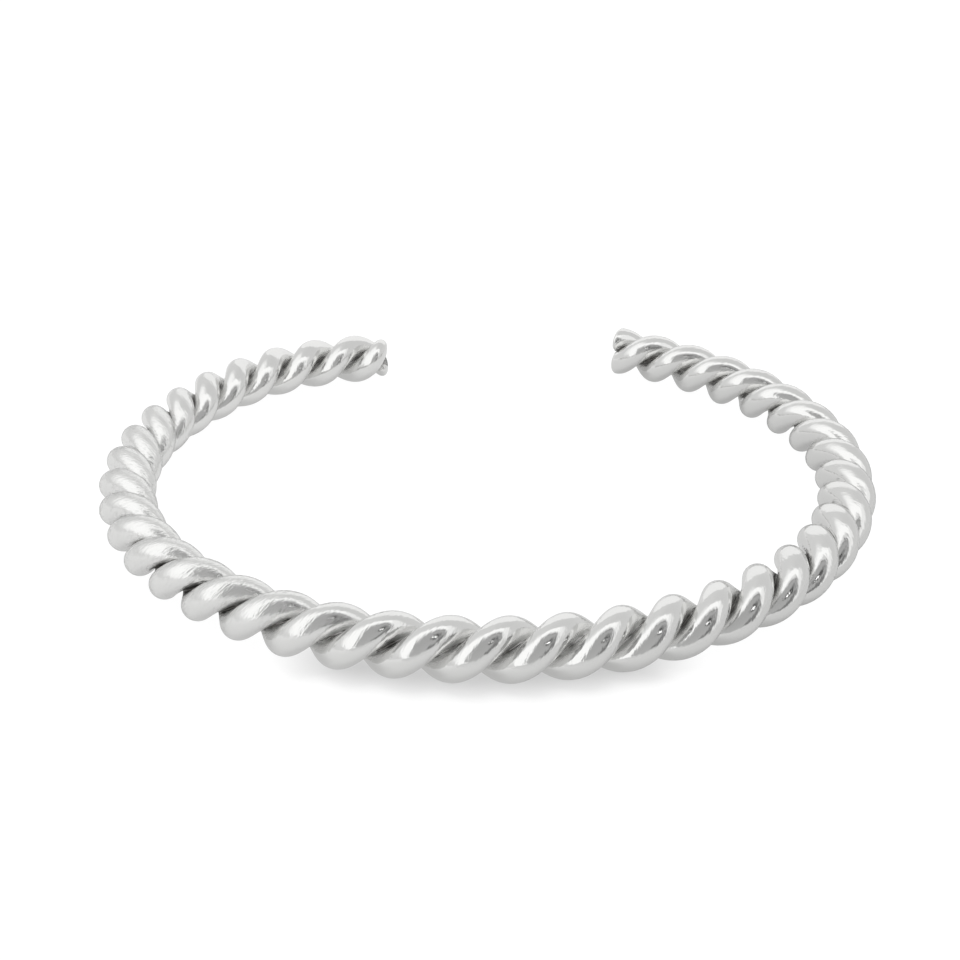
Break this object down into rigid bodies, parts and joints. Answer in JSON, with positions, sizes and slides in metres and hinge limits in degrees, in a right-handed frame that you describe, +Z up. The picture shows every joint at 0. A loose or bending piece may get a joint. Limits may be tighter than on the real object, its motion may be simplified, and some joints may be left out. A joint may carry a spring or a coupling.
{
  "type": "twisted wire bangle",
  "caption": "Open oval bangle of thick round wires twisted tightly together, with cut ends and a gap at the back.",
  "frame": {"origin": "middle of the oval opening, on the surface that the bangle lies on", "axes": "+X along the oval's longer side, +Y towards the gap between the ends, +Z up through the opening"},
  "size_m": [0.0664, 0.0572, 0.0047],
  "materials": {
    "silver": "polished silver, fine wear scratches, darkened in the grooves of the twist"
  },
  "bodies": {
    "root": {"first_wire": "silver", "second_wire": "silver"}
  },
  "joints": []
}
